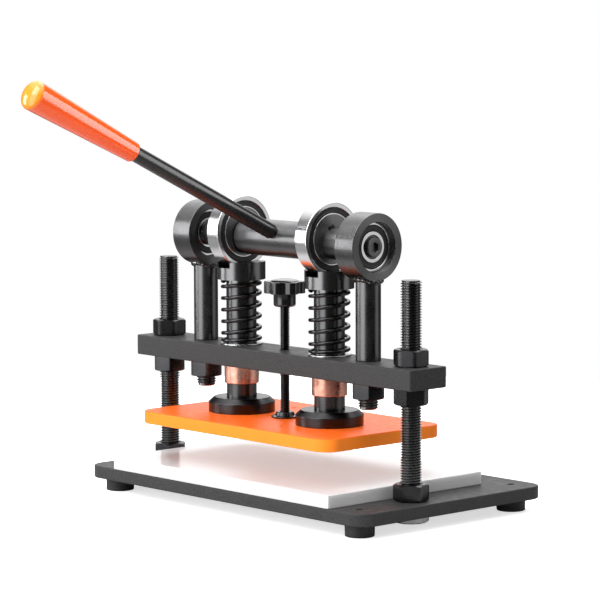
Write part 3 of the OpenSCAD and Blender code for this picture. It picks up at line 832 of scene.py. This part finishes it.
floor_bm = bmesh.new()
bmesh.ops.create_circle(floor_bm, cap_ends=True, radius=0.75, segments=96)
floor_mesh = bpy.data.meshes.new("floor")
floor_bm.to_mesh(floor_mesh)
floor_bm.free()
floor = bpy.data.objects.new("floor", floor_mesh)
bpy.context.collection.objects.link(floor)
floor_look = Nodes("floor_paper")
direct = floor_look.add("ShaderNodeLightPath").outputs["Is Camera Ray"]
away = floor_look.add("ShaderNodeVectorMath", operation="LENGTH")
floor_look.link(floor_look.place, away.inputs[0])
near = floor_look.range(away.outputs["Value"], 0.4, 0.12, 0.27, 0.40)
shade = floor_look.math("MAXIMUM", near, floor_look.math("MULTIPLY", direct, 0.76))
floor_look.colour(floor_look.math("MULTIPLY_ADD", floor_look.noise(3, 2), 0.01, shade), (0, 0), (1, 1))
floor_look.link(floor_look.math("MULTIPLY", direct, 0.65), floor_look.shader.inputs["Emission Strength"])
floor_look.set(Roughness=0.9, Emission_Color=(1, 1, 1, 1))
floor_mesh.materials.append(floor_look.material)

world = bpy.data.worlds.new("studio")
bpy.context.scene.world = world
world.use_nodes = True
tree = world.node_tree
background = tree.nodes["Background"]
direction = tree.nodes.new("ShaderNodeTexCoord").outputs["Generated"]
separate = tree.nodes.new("ShaderNodeSeparateXYZ")
tree.links.new(direction, separate.inputs[0])
azimuth = tree.nodes.new("ShaderNodeMath")
azimuth.operation = "ARCTAN2"
tree.links.new(separate.outputs[1], azimuth.inputs[0])
tree.links.new(separate.outputs[0], azimuth.inputs[1])
turn = tree.nodes.new("ShaderNodeMapRange")
for key, value in zip(("From Min", "From Max", "To Min", "To Max"), (-math.pi, math.pi, 0, 1)):
    turn.inputs[key].default_value = value
tree.links.new(azimuth.outputs[0], turn.inputs["Value"])
ramp = tree.nodes.new("ShaderNodeValToRGB")
ramp.color_ramp.interpolation = "EASE"
FACING = math.degrees(math.atan2(-ahead.y, -ahead.x))


def stop_at(relative):
    """Place on the azimuth ramp of a direction given in degrees to the right of the camera."""
    return ((FACING + relative + 180) % 360) / 360


STOPS = [(-150, 0.1), (-105, 0.2), (-84, 0.3), (-66, 3.1), (-41, 3.1), (-26, 0.12), (0, 0.03), (45, 0.03),
         (62, 0.12), (74, 0.75), (94, 0.75), (106, 0.12), (150, 0.06)]
ordered = sorted((stop_at(a), v) for a, v in STOPS)
elements = ramp.color_ramp.elements
while len(elements) < len(ordered):
    elements.new(0.5)
for element, (position, value) in zip(elements, ordered):
    element.position = position
    element.color = (value, value, value, 1)
tree.links.new(turn.outputs[0], ramp.inputs["Fac"])
height = tree.nodes.new("ShaderNodeValToRGB")
height.color_ramp.elements[0].position = 0.79
height.color_ramp.elements[0].color = (0, 0, 0, 1)
height.color_ramp.elements[1].position = 0.92
height.color_ramp.elements[1].color = (1, 1, 1, 1)
lift = tree.nodes.new("ShaderNodeMath")
lift.operation = "MULTIPLY_ADD"
lift.inputs[1].default_value = 0.5
lift.inputs[2].default_value = 0.5
sweep_up = separate.outputs[2]
behind = tree.nodes.new("ShaderNodeVectorMath")
behind.operation = "DOT_PRODUCT"
behind.inputs[1].default_value = Vector((ahead.x, ahead.y, 0)).normalized()
tree.links.new(direction, behind.inputs[0])
level = behind.outputs["Value"]
for operation, value in (("MAXIMUM", 0), ("POWER", 4), ("MULTIPLY", 0.6)):
    stage = tree.nodes.new("ShaderNodeMath")
    stage.operation = operation
    stage.inputs[1].default_value = value
    tree.links.new(level, stage.inputs[0])
    level = stage.outputs[0]
total = tree.nodes.new("ShaderNodeMath")
tree.links.new(sweep_up, total.inputs[0])
tree.links.new(level, total.inputs[1])
tree.links.new(total.outputs[0], lift.inputs[0])
tree.links.new(lift.outputs[0], height.inputs["Fac"])
mix = tree.nodes.new("ShaderNodeMix")
mix.data_type = "RGBA"
tree.links.new(height.outputs["Color"], mix.inputs["Factor"])
tree.links.new(ramp.outputs["Color"], mix.inputs["A"])
mix.inputs["B"].default_value = (2.0, 2.0, 2.0, 1)
seen = tree.nodes.new("ShaderNodeLightPath")
final = tree.nodes.new("ShaderNodeMix")
final.data_type = "RGBA"
tree.links.new(seen.outputs["Is Camera Ray"], final.inputs["Factor"])
tree.links.new(mix.outputs["Result"], final.inputs["A"])
final.inputs["B"].default_value = (1, 1, 1, 1)
tree.links.new(final.outputs["Result"], background.inputs["Color"])


def softbox(name, towards, distance, elevation, width, tall, power, aim=(0, 0, 0.12)):
    """An area light that faces the press, at an azimuth to the right of the camera."""
    a, e = math.radians(FACING + towards), math.radians(elevation)
    aim = Vector(aim)
    place = Vector((math.cos(a) * math.cos(e), math.sin(a) * math.cos(e), math.sin(e))) * distance + aim
    light = bpy.data.lights.new(name, "AREA")
    light.shape = "RECTANGLE"
    light.size, light.size_y, light.energy = width, tall, power
    obj = bpy.data.objects.new(name, light)
    obj.location = place
    obj.rotation_euler = (aim - place).to_track_quat("-Z", "Y").to_euler()
    bpy.context.collection.objects.link(obj)
    return obj


softbox("key", -55, 1.6, 50, 0.9, 0.9, 12)
softbox("side", -98, 1.6, 11, 0.55, 0.8, 10)
softbox("fill", 60, 1.8, 30, 0.8, 1.0, 3)
softbox("top", 160, 1.5, 70, 1.2, 1.2, 10)
softbox("front", -25, 1.8, 4, 1.4, 0.9, 14).visible_glossy = False
strip = softbox("strip", 93, 1.6, 2, 0.9, 1.15, 15, (0, -0.235, 0.308))
lit = bpy.data.collections.new("lit_by_strip")
for name in ("grip", "handle_bar"):
    lit.objects.link(bpy.data.objects[name])
strip.light_linking.receiver_collection = lit
